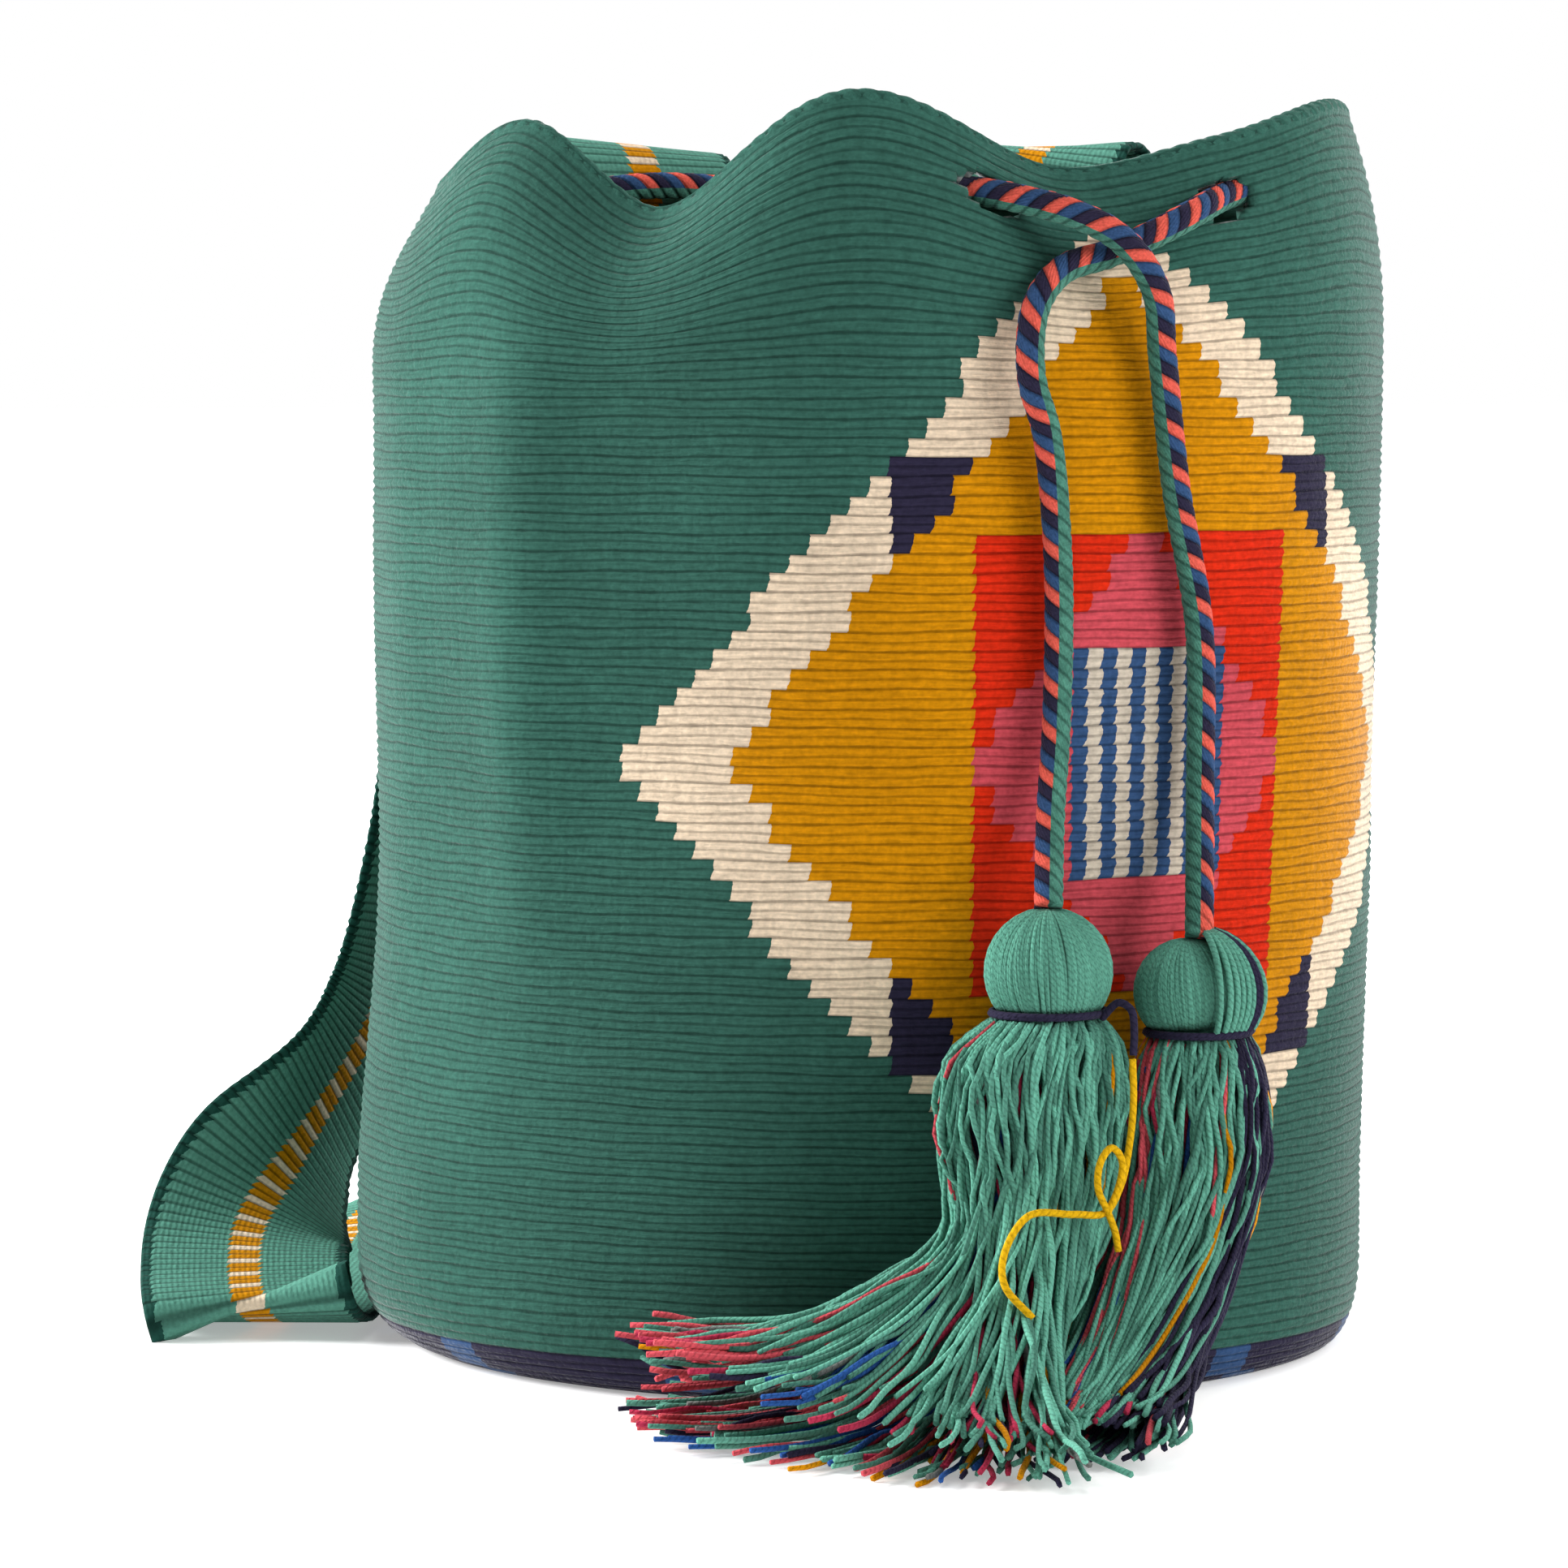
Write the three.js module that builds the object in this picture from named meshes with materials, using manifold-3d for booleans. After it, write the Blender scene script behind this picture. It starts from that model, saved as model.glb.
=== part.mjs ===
// Crocheted bucket bag with a gathered mouth, a woven shoulder strap and a tasselled drawstring.
// Millimetres, +Z up. The origin is the centre of the flat base, and the front faces -Y.
import * as THREE from 'three';
import { mergeVertices } from 'three/addons/utils/BufferGeometryUtils.js';
import Module from 'manifold-3d';

const wasm = await Module();
wasm.setup();

// Driving dimensions of the bag
const bodyRadius = 125;
const baseRadius = 113;
const cornerHeight = 20;
const fabricThickness = 4;
const nominalRimHeight = 290;
const gatherStart = 0.82;
const lowerSag = 4.5;

// Drawstring, strap and tassels
const cordDiameter = 7.5;
const eyeletClearance = 0.7;
const eyeletDepth = 14;
const cordSides = 10;
const cordSteps = 78;
const strapWidth = 52;
const strapThickness = 3;
const headRadius = 14.5;
const neckRadius = 12;
const bindingThickness = 1.8;
const bindingHeight = 3.5;
const threadDiameter = 1.8;
const seatGap = 0.3;
const cordEndGap = 1.6;

// Sizes of the bag that the routes below are laid out on; the routes move with the wall when it changes
const laidOutRadius = 125;
const laidOutRimHeight = 290;
const laidOutThickness = 4;
const laidOutStrapWidth = 52;
const strapRowsInside = 4;

// Facets
const wallSegments = 80;
const tasselSegments = 16;
const shoulderRings = 2;

// The gathered mouth: angle from the front in degrees, rise above the nominal rim, pull towards the axis
const mouth = [
  [-176, 1, 56],
  [-154, -12, 48],
  [-136, 0, 30],
  [-117, -3, 25],
  [-97, -6, 13],
  [-77, 7, 17],
  [-56, -14, 21],
  [-30, 11, 4],
  [-4, -5, 19],
  [16, 2, 8],
  [40, 12, 6],
  [63, 8, 12],
  [90, 2, 25],
  [120, 0, 41],
  [153, 0, 53],
];

// Eyelets, and the stretches of cord between them: angle, offset from the fabric's middle
const sideRoute = [
  [-36, -8],
  [-56, -7],
  [-77, -8],
  [-97, -8],
  [-114, -8],
];
const backRoute = [
  [-190, 0],
  [-202, 6.5],
  [-215, 0],
  [-236, -8],
  [-256, 0],
  [-270, 6.5],
  [-284, 0],
  [-304, -8],
  [-326, -8],
];

// The cord passes inside the sewn end of the strap, above the rim that dips there
const strapCrossing = [
  [-69, 54, 279.5],
  [-40, 51.4, 285],
  [-10, 52, 283.5],
];

// Half knot in front of the mouth and the two hanging ends of the cord
const leftEnd = [
  [-23, -132.5, 138],
  [-20, -129.6, 158],
  [-19.5, -129.4, 194],
  [-22.5, -129.4, 224],
  [-27, -130, 238],
  [-25, -128.4, 253],
  [-17, -126, 261.5],
  [-4, -125.2, 265.5],
  [9, -124.4, 270.5],
  [21, -121.5, 275.5],
  [32, -114, 279],
];
const rightEnd = [
  [16.5, -132, 140],
  [17.5, -129.4, 180],
  [11, -129.8, 212],
  [6, -132, 242],
  [2.5, -135, 257],
  [-5, -133.6, 268],
  [-14, -128.5, 274],
  [-24, -117.8, 278],
  [-32, -108, 280],
];

// Strap: middle of the band and the way across it, from one sewn end over the rim to the other sewn end
const strapRoute = [
  [-36, 76.6, 264.2, 1, -0.03, 0],
  [-35.3, 65.6, 272.2, 1, -0.03, 0],
  [-35.2, 60.5, 283, 1, -0.03, 0],
  [-35, 63.2, 291, 1, -0.03, -0.04],
  [-34.6, 71, 295, 1, -0.03, -0.08],
  [-34.6, 80.5, 292.5, 1, 0.02, -0.1],
  [-36, 90, 282.5, 1, 0.08, -0.1],
  [-39.5, 103, 265, 0.98, 0.18, -0.1],
  [-46, 114.5, 243, 0.94, 0.3, -0.1],
  [-59, 118, 212, 0.89, 0.45, -0.12],
  [-74, 110.5, 165, 0.83, 0.56, -0.15],
  [-89.7, 103, 115, 0.78, 0.62, -0.15],
  [-101, 104, 72, 0.8, 0.6, -0.1],
  [-115, 102, 43, 0.83, 0.5, 0],
  [-133, 86.4, 24, 0.96, 0.01, 0],
  [-144, 63.7, 14.5, 0.89, -0.4, 0],
  [-148.5, 48.4, 9, 0.89, -0.454, 0],
  [-140, 59.7, 3.4, 0.89, -0.454, 0],
  [-114.5, 102.8, 3.4, 0.89, -0.454, 0],
  [-89.2, 146.5, 3.4, 0.88, -0.47, 0],
  [-67, 179, 7, 0.8, -0.5, 0.2],
  [-34, 201, 21, 0.45, -0.5, 0.74],
  [8, 204, 28.5, 0, -0.2, 0.98],
  [55, 182, 30, -0.4, 0.1, 0.9],
  [88, 143, 57, -0.8, 0.5, 0.32],
  [108, 101, 115, -0.72, 0.68, 0.1],
  [109, 83, 190, -0.6, 0.8, 0],
  [106.5, 70.5, 238, -0.57, 0.82, 0],
  [100.4, 63, 258, -0.61, 0.79, 0],
  [90.2, 54.6, 274, -0.66, 0.75, 0],
  [81, 48.6, 284, -0.7, 0.71, 0],
  [76.7, 46.1, 290.6, -0.7, 0.71, 0],
  [72.4, 43.5, 294.3, -0.7, 0.71, 0],
  [67, 40.2, 294.9, -0.73, 0.68, 0],
  [62.2, 37.3, 291.3, -0.75, 0.66, 0],
  [60.8, 36.5, 283, -0.75, 0.66, 0],
];

// Tassels: middle of the yarn, half width and half depth down from the neck to the fanned ends
const leftNeck = new THREE.Vector3(-28, -140.8, 91.36);
const leftSkirt = [
  [-29, -141.3, 88.5, 15.5, 14.5],
  [-32, -142, 83, 20, 15.5],
  [-33.5, -142.8, 75, 22, 16],
  [-34, -143.5, 66, 22, 16],
  [-34.5, -144.5, 57, 20.5, 15.5],
  [-37, -146, 48, 19, 15.5],
  [-43, -148.5, 37, 19, 15],
  [-53.5, -150.5, 27, 25, 12.5],
  [-69, -151, 18.5, 32, 10.5],
  [-88, -147, 12, 41, 8.5],
  [-107, -142, 8.5, 49, 6.5],
];
const rightNeck = new THREE.Vector3(10, -143.2, 85.36);
const rightSkirt = [
  [9.5, -143.8, 82.5, 14.5, 14],
  [8.5, -144.8, 77, 16, 15.5],
  [7.5, -145.8, 69, 17, 16],
  [7, -146.5, 60, 17, 16],
  [5.5, -149, 49, 16.5, 15],
  [1.5, -153.5, 38, 16, 14],
  [-6, -161, 27, 17.5, 11.5],
  [-17, -171, 17, 20, 9],
  [-30, -183, 10.5, 23, 7],
  [-42, -194, 7.5, 27, 5.5],
  [-52, -203, 6, 29, 4.5],
];

// Tail of the left binding, which arches out, and the yellow thread tied to its end
const bindingTail = [
  [-20.1, -151.4, 93],
  [-17.8, -155, 96.8],
  [-16.2, -158, 95.5],
  [-16.5, -160, 90.5],
  [-17.2, -160.8, 85.5],
];
const yellowRoute = [
  [-17.4, -161, 84.7],
  [-18, -162.5, 75],
  [-19.5, -163.5, 66],
  [-22.5, -165, 57],
  [-26.9, -166, 51.3],
  [-36, -167.3, 51.5],
  [-47.5, -168, 52],
  [-54.7, -170, 44.3],
  [-56.3, -173, 37.7],
  [-51.4, -177, 30.6],
];

const smoothStep = (low, high, value) => THREE.MathUtils.smoothstep(value, low, high);

// Periodic cubic interpolation of one column of the mouth's table
function mouthValue(angle, column) {
  const count = mouth.length;
  const turned = THREE.MathUtils.euclideanModulo(angle - mouth[0][0], 360) + mouth[0][0];
  const row = (index) => {
    const wrapped = THREE.MathUtils.euclideanModulo(index, count);
    return [mouth[wrapped][0] + 360 * Math.floor(index / count), mouth[wrapped][column]];
  };
  let index = 0;
  while (index < count - 1 && row(index + 1)[0] <= turned) index += 1;
  const [before, from, to, after] = [row(index - 1), row(index), row(index + 1), row(index + 2)];
  const span = to[0] - from[0];
  const startSlope = (to[1] - before[1]) / (to[0] - before[0]);
  const endSlope = (after[1] - from[1]) / (after[0] - from[0]);
  const t = (turned - from[0]) / span;
  const t2 = t * t;
  const t3 = t2 * t;
  return (2 * t3 - 3 * t2 + 1) * from[1] + (t3 - 2 * t2 + t) * span * startSlope
    + (3 * t2 - 2 * t3) * to[1] + (t3 - t2) * span * endSlope;
}

// Point of the bag's outer face at an angle in degrees and a share of the wall's height
function wallPoint(angle, share) {
  const rise = mouthValue(angle, 1);
  const drop = mouthValue(angle, 2);
  const low = 1 - smoothStep(0.05, 0.4, share);
  const waist = smoothStep(0.05, 0.3, share) * (1 - smoothStep(0.35, 0.7, share));
  const start = gatherStart - 0.004 * Math.max(0, drop - 22);
  const gather = THREE.MathUtils.clamp((share - start) / (1 - start), 0, 1);
  const sideways = lowerSag * low * Math.cos((angle + 117) * THREE.MathUtils.DEG2RAD);
  const radius = bodyRadius + sideways - 2 * waist - drop * Math.pow(gather, 2.3);
  const height = cornerHeight + (nominalRimHeight - cornerHeight) * share
    + rise * smoothStep(0.5, 1, share);
  const turn = angle * THREE.MathUtils.DEG2RAD;
  return new THREE.Vector3(radius * Math.sin(turn), -radius * Math.cos(turn), height);
}

// Outward direction of the wall there
function wallNormal(angle, share) {
  const step = 0.004;
  const high = Math.min(1, share + step);
  const up = wallPoint(angle, high).sub(wallPoint(angle, high - 2 * step));
  const along = wallPoint(angle + 0.5, share).sub(wallPoint(angle - 0.5, share));
  return along.cross(up).normalize();
}

// Point of the rounded edge between the base and the wall
function cornerPoint(angle, share, inset) {
  const top = wallPoint(angle, 0);
  const turn = share * Math.PI / 2;
  const topRadius = Math.hypot(top.x, top.y) - inset;
  const radius = baseRadius + (topRadius - baseRadius) * Math.sin(turn);
  const height = inset + (cornerHeight - inset) * (1 - Math.cos(turn));
  const scale = radius / Math.hypot(top.x, top.y);
  return new THREE.Vector3(top.x * scale, top.y * scale, height);
}

// Closed solid from rings of equal count, with a fan at each end
function ringSolid(rings, startPoint, endPoint) {
  const count = rings[0].length;
  const points = [startPoint, ...rings.flat(), endPoint];
  const last = points.length - 1;
  const triangles = [];
  const at = (ring, place) => 1 + ring * count + (place % count);
  for (let place = 0; place < count; place += 1) {
    triangles.push(0, at(0, place + 1), at(0, place));
    triangles.push(last, at(rings.length - 1, place), at(rings.length - 1, place + 1));
    for (let ring = 0; ring < rings.length - 1; ring += 1) {
      triangles.push(at(ring, place), at(ring, place + 1), at(ring + 1, place + 1));
      triangles.push(at(ring, place), at(ring + 1, place + 1), at(ring + 1, place));
    }
  }
  const geometry = new THREE.BufferGeometry();
  geometry.setAttribute('position', new THREE.Float32BufferAttribute(points.flatMap((p) => p.toArray()), 3));
  geometry.setIndex(triangles);
  return geometry;
}

// Exact solid of a closed geometry, for cuts and joins
function toSolid(geometry) {
  const bare = geometry.clone();
  bare.deleteAttribute('normal');
  bare.deleteAttribute('uv');
  const merged = mergeVertices(bare, 1e-4);
  return new wasm.Manifold(new wasm.Mesh({
    numProp: 3,
    vertProperties: new Float32Array(merged.attributes.position.array),
    triVerts: new Uint32Array(merged.index.array),
  }));
}

function toGeometry(solid) {
  const mesh = solid.getMesh();
  const geometry = new THREE.BufferGeometry();
  geometry.setAttribute('position', new THREE.BufferAttribute(mesh.vertProperties, 3));
  geometry.setIndex(new THREE.BufferAttribute(mesh.triVerts, 1));
  return geometry;
}

// Round tube along a smooth route
function tube(points, diameter, sides, steps) {
  const section = new THREE.Shape();
  for (let side = 0; side < sides; side += 1) {
    const turn = side * 2 * Math.PI / sides;
    const place = [diameter / 2 * Math.cos(turn), diameter / 2 * Math.sin(turn)];
    if (side === 0) section.moveTo(...place);
    else section.lineTo(...place);
  }
  const route = new THREE.CatmullRomCurve3(points, false, 'centripetal');
  return new THREE.ExtrudeGeometry(section, { extrudePath: route, steps, bevelEnabled: false });
}

const toVectors = (rows) => rows.map((row) => new THREE.Vector3(row[0], row[1], row[2]));

// How far a laid-out point moves away from the axis when the bag is made wider
function outward(point) {
  return new THREE.Vector3(point.x, point.y, 0).setLength(bodyRadius - laidOutRadius);
}

// Points that move out and up with the wall; those at or below the still height keep their height
function followWall(points, stillHeight) {
  return points.map((point) => {
    const share = (point.z - cornerHeight) / (laidOutRimHeight - cornerHeight);
    const rise = (nominalRimHeight - laidOutRimHeight) * THREE.MathUtils.clamp(share, 0, 1);
    const moved = point.clone().add(outward(point));
    moved.z += rise * smoothStep(stillHeight, stillHeight + 60, point.z);
    return moved;
  });
}

// Points of a tassel, which stay together and stand on the floor
function followTassel(points, neck) {
  return points.map((point) => point.clone().add(outward(neck)));
}

// Middle of a tassel's head over its neck
function headOf(neck) {
  const head = neck.clone().add(outward(neck));
  head.z += bindingHeight + Math.sqrt(headRadius ** 2 - neckRadius ** 2);
  return head;
}

function cordEnd(neck, rows) {
  const end = headOf(neck);
  end.z += headRadius + cordEndGap;
  return [end, ...followWall(toVectors(rows), end.z)];
}

function drawstringRoute() {
  const nominalLength = nominalRimHeight - cornerHeight;
  const share = 1 - eyeletDepth / nominalLength;
  const along = (rows) => rows.map(([angle, offset]) => {
    const middle = offset - fabricThickness / 2;
    return wallPoint(angle, share).addScaledVector(wallNormal(angle, share), middle);
  });
  return [...cordEnd(rightNeck, rightEnd), ...along(sideRoute), ...followWall(toVectors(strapCrossing), 0),
    ...along(backRoute), ...cordEnd(leftNeck, leftEnd).reverse()];
}

// Base, wall and rim are one crocheted piece, and the cord's route opens the eyelets in it
function bagGeometry() {
  const cornerShares = [0, 0.34, 0.67];
  const wallShares = [0, 0.14, 0.3, 0.46, 0.6, 0.7, 0.77, 0.83, 0.88, 0.925, 0.965, 1];
  const angles = Array.from({ length: wallSegments }, (_, index) => -180 + index * 360 / wallSegments);
  const outerCorner = cornerShares.map((share) => angles.map((angle) => cornerPoint(angle, share, 0)));
  const outerWall = wallShares.map((share) => angles.map((angle) => wallPoint(angle, share)));
  const innerWall = wallShares.map((share) => angles.map((angle) => (
    wallPoint(angle, share).addScaledVector(wallNormal(angle, share), -fabricThickness))));
  const innerCorner = cornerShares.map((share) => angles.map((angle) => (
    cornerPoint(angle, share, fabricThickness))));
  const rings = [...outerCorner, ...outerWall, ...innerWall.reverse(), ...innerCorner.reverse()];
  const shell = ringSolid(rings, new THREE.Vector3(), new THREE.Vector3(0, 0, fabricThickness));
  const wideCord = tube(drawstringRoute(), cordDiameter + 2 * eyeletClearance, cordSides, cordSteps);
  return toGeometry(toSolid(shell).subtract(toSolid(wideCord)));
}

// Flat woven band, turned and folded along its route
function strapGeometry() {
  const edgeDip = (strapWidth ** 2 - laidOutStrapWidth ** 2) / (8 * (bodyRadius - mouthValue(-154, 2)));
  const inward = fabricThickness - laidOutThickness + edgeDip;
  const laid = followWall(toVectors(strapRoute), 0);
  const halfAdded = (strapWidth - laidOutStrapWidth) / 2;
  laid.forEach((point, index) => {
    const nearFloor = 1 - smoothStep(20, 60, point.z);
    point.add(new THREE.Vector3(point.x, point.y, 0).setLength(halfAdded * nearFloor));
    point.z += halfAdded * Math.abs(strapRoute[index][5]);
  });
  laid.slice(0, strapRowsInside).forEach((point) => {
    point.y -= inward;
  });
  const middle = new THREE.CatmullRomCurve3(laid, false, 'centripetal');
  const across = new THREE.CatmullRomCurve3(strapRoute.map((row) => new THREE.Vector3(...row.slice(3))));
  const stations = 72;
  const rings = [];
  for (let station = 0; station <= stations; station += 1) {
    const t = station / stations;
    const point = middle.getPoint(t);
    const along = middle.getTangent(t);
    const side = across.getPoint(t).addScaledVector(along, -across.getPoint(t).dot(along)).normalize();
    const face = new THREE.Vector3().crossVectors(along, side);
    const corners = [[-1, -1], [1, -1], [1, 1], [-1, 1]];
    rings.push(corners.map(([wide, thick]) => point.clone()
      .addScaledVector(side, wide * strapWidth / 2)
      .addScaledVector(face, thick * strapThickness / 2)));
  }
  const centre = (ring) => ring[0].clone().add(ring[2]).multiplyScalar(0.5);
  return ringSolid(rings, centre(rings[0]), centre(rings[rings.length - 1]));
}

// Tassel yarn: a round head over the cord's end, a tied neck and a skirt that sweeps to the floor
function tasselGeometry(neck, skirt) {
  const head = headOf(neck);
  const rings = [];
  const neckAngle = Math.PI - Math.asin(neckRadius / headRadius);
  for (let step = 1; step <= 7; step += 1) {
    const turn = step * neckAngle / 7;
    const radius = headRadius * Math.sin(turn);
    rings.push({ place: head.clone().add(new THREE.Vector3(0, 0, headRadius * Math.cos(turn))),
      wide: radius, deep: radius });
  }
  const neckFoot = rings[rings.length - 1].place.clone();
  neckFoot.z -= bindingHeight;
  rings.push({ place: neckFoot, wide: neckRadius, deep: neckRadius });
  const middles = followTassel(toVectors(skirt), neck);
  skirt.forEach(([, , , wide, deep], index) => rings.push({ place: middles[index], wide, deep }));
  const side = new THREE.Vector3(1, 0, 0);
  const loops = rings.map(({ place, wide, deep }, index) => {
    const next = rings[Math.min(index + 1, rings.length - 1)].place;
    const before = rings[Math.max(index - 1, 0)].place;
    const along = next.clone().sub(before).normalize();
    if (index < rings.length - skirt.length + shoulderRings) along.set(0, 0, -1);
    side.addScaledVector(along, -side.dot(along)).normalize();
    const front = new THREE.Vector3().crossVectors(along, side);
    const level = new THREE.Vector3(along.y, -along.x, 0);
    if (level.length() < 0.45) level.copy(side);
    level.normalize();
    const upright = new THREE.Vector3().crossVectors(along, level);
    return Array.from({ length: tasselSegments }, (_, segment) => {
      const turn = segment * 2 * Math.PI / tasselSegments;
      const ray = side.clone().multiplyScalar(Math.cos(turn)).addScaledVector(front, Math.sin(turn));
      const reach = 1 / Math.hypot(ray.dot(level) / wide, ray.dot(upright) / deep);
      return place.clone().addScaledVector(ray, reach);
    });
  });
  const top = head.clone().add(new THREE.Vector3(0, 0, headRadius));
  return ringSolid(loops, top, rings[rings.length - 1].place.clone());
}

// Thread wound round the neck of a tassel
function bindingGeometry(neck) {
  const inner = neckRadius + seatGap;
  const outer = inner + bindingThickness;
  const half = bindingHeight / 2 - seatGap;
  const bevel = 0.5;
  const profile = [[inner, -half], [outer - bevel, -half], [outer, bevel - half], [outer, half - bevel],
    [outer - bevel, half], [inner + bevel, half], [inner, half - bevel], [inner, -half]];
  const ring = new THREE.LatheGeometry(profile.map((pair) => new THREE.Vector2(...pair)), 20);
  ring.rotateX(Math.PI / 2);
  const [foot] = followTassel([neck], neck);
  ring.translate(foot.x, foot.y, foot.z + bindingHeight / 2);
  return ring;
}

const teal = new THREE.Color(0.10, 0.33, 0.27);
const navy = new THREE.Color(0.025, 0.022, 0.09);
const mustard = new THREE.Color(0.72, 0.42, 0.01);
const yarn = (color) => new THREE.MeshStandardMaterial({ color, roughness: 0.95, metalness: 0 });

function piece(name, geometry, color) {
  const mesh = new THREE.Mesh(geometry, yarn(color));
  mesh.name = name;
  return mesh;
}

const drawstring = tube(drawstringRoute(), cordDiameter, cordSides, cordSteps);
const tail = tube(followTassel(toVectors(bindingTail), leftNeck), threadDiameter, 8, 14);
const leftBinding = toGeometry(toSolid(bindingGeometry(leftNeck)).add(toSolid(tail)));
const yellowThread = tube(followTassel(toVectors(yellowRoute), leftNeck), threadDiameter, 8, 26);

const bag = new THREE.Group();
bag.add(piece('bag_body', bagGeometry(), teal));
bag.add(piece('strap', strapGeometry(), teal));
bag.add(piece('drawstring', drawstring, navy));

const leftTassel = new THREE.Group();
leftTassel.add(piece('left_tassel_yarn', tasselGeometry(leftNeck, leftSkirt), teal));
leftTassel.add(piece('left_tassel_binding', leftBinding, navy));
leftTassel.add(piece('yellow_thread', yellowThread, mustard));

const rightTassel = new THREE.Group();
rightTassel.add(piece('right_tassel_yarn', tasselGeometry(rightNeck, rightSkirt), teal));
rightTassel.add(piece('right_tassel_binding', bindingGeometry(rightNeck), navy));

bag.add(leftTassel, rightTassel);

export default bag;
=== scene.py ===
"""Looks of a crocheted bucket bag with a tasselled drawstring and a woven strap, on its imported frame."""
import math

import bpy
import numpy as np
from bpy.props import FloatProperty, FloatVectorProperty, IntProperty, PointerProperty
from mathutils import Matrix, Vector


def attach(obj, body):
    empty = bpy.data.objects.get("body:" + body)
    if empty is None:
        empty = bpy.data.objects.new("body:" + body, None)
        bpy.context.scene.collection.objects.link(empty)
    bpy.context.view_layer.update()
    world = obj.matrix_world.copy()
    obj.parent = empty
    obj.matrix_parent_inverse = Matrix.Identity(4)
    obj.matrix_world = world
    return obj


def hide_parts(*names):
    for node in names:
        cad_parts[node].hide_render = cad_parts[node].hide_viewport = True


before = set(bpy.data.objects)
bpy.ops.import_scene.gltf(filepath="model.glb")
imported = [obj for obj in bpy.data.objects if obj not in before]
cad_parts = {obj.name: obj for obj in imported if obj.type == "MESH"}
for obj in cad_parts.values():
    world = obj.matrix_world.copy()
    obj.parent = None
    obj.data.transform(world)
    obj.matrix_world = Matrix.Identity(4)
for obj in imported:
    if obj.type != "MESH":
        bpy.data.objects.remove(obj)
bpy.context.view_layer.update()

bl_info = {
    "name": "Crocheted bucket bag",
    "version": (1, 0, 0),
    "blender": (4, 5, 0),
    "location": "View3D > Sidebar > Bag",
    "description": "Makes the crochet, the strap, the drawstring and the tassels of a bucket bag",
    "category": "Object",
}

# Bag: radii of wall and base, heights of corner and wall, length of the corner's arc, cloth and row, in mm
BODY_RADIUS, BASE_RADIUS = 125, 113
CORNER_HEIGHT, WALL_HEIGHT, CORNER_ARC = 20, 270, 26.5
CLOTH, ROW_HEIGHT = 4, 4.42
# Rounds in each half of the corner, whose middle is row 0, and angle of the motif's middle in degrees
CORNER_ROWS, MOTIF_ANGLE = 3, 3
# Eyelets: depth of their middles below the rim in mm, half width in stitches and half height in rows
EYELET_DEPTH, EYELET_WIDTH, EYELET_HEIGHT = 14, 1.9, 1.05
# Last row: how far it rounds inwards and upwards, and radius of the finishing row on it, in mm
LIP_DEPTH, LIP_HEIGHT, RIM_RADIUS = 2.2, 2.0, 1.95

# The gathered mouth: angle from the front in degrees, rise above the nominal rim and pull inwards, in mm
MOUTH = np.array([
    (-176, 1, 56), (-154, -12, 48), (-136, 0, 30), (-117, -3, 25), (-97, -6, 13), (-77, 7, 17),
    (-56, -14, 21), (-30, 11, 4), (-4, -5, 19), (16, 2, 8), (40, 12, 6), (63, 8, 12),
    (90, 2, 25), (120, 0, 41), (153, 0, 53)], float)

# Drawstring from the right tassel round the mouth to the left one: points in mm, and for the eyelets
# angles in degrees and distances from the middle of the cloth in mm
SIDE_EYELETS = [(-36, -8), (-56, -7), (-77, -8), (-97, -8), (-114, -8)]
BACK_EYELETS = [(-190, 0), (-202, 6.5), (-215, 0), (-236, -8), (-256, 0), (-270, 6.5), (-284, 0),
                (-304, -8), (-326, -8)]
RIGHT_END = [
    (9.1, -144.7, 109.7), (16.5, -132, 140), (17.5, -129.4, 180), (11, -129.8, 212),
    (6, -132, 242), (2.5, -135, 257), (-5, -133.6, 268), (-14, -128.5, 274),
    (-24, -117.8, 278), (-32, -108, 280)]
STRAP_CROSSING = [(-69, 54, 279.5), (-40, 51.4, 285), (-10, 52, 283.5)]
LEFT_END = [
    (-28.4, -141.5, 117.6), (-23, -132.5, 138), (-20, -129.6, 158), (-19.5, -129.4, 194),
    (-22.5, -129.4, 224), (-27, -130, 238), (-25, -128.4, 253), (-17, -126, 261.5),
    (-4, -125.2, 265.5), (9, -124.4, 270.5), (21, -121.5, 275.5), (32, -114, 279)]

# Blocks of the braid: length along the cord in mm, slant and shift of its two halves in blocks
BLOCK_PITCH, BLOCK_SLANT, BLOCK_SHIFT = 3.5, 4.2, 1.5

# Strap: distances between two ribs and between two turns of its twisted edges, in mm
RIB_PITCH, EDGE_PITCH = 2.4, 3.2

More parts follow.
